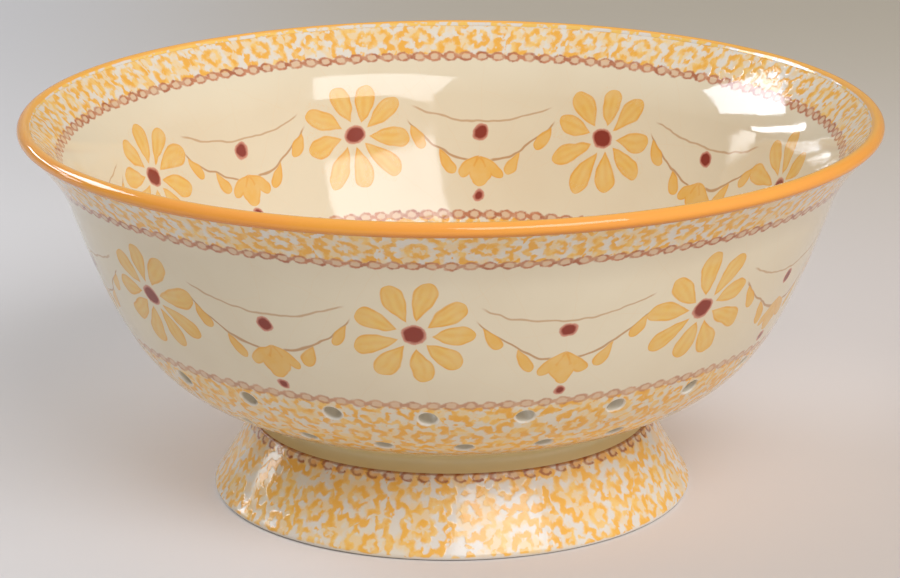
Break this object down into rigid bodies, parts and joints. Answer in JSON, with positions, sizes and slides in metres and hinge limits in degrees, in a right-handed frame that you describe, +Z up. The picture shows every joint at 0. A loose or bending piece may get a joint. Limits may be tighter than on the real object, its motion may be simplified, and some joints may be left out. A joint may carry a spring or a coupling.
{
  "type": "ceramic colander",
  "caption": "Round footed colander: a pierced ceramic bowl with a flared lip on a hollow flared foot, for draining food in a sink or on a table.",
  "frame": {"origin": "middle of the circle that the foot stands on, at table level", "axes": "+Z up along the axis of the bowl, -Y towards the front, +X to the right seen from the front"},
  "size_m": [0.2799, 0.28, 0.1263],
  "materials": {
    "cream_glaze": "glossy clear glaze over cream slip, painted under the glaze",
    "neck_glaze": "glossy clear glaze over plain cream slip",
    "foot_glaze": "glossy clear glaze over amber sponging",
    "amber_glaze": "glossy amber glaze, thick enough to stand proud"
  },
  "bodies": {
    "root": {"bowl": "cream_glaze", "luting_ring": "neck_glaze", "foot": "foot_glaze", "rim_glaze": "amber_glaze"}
  },
  "joints": []
}
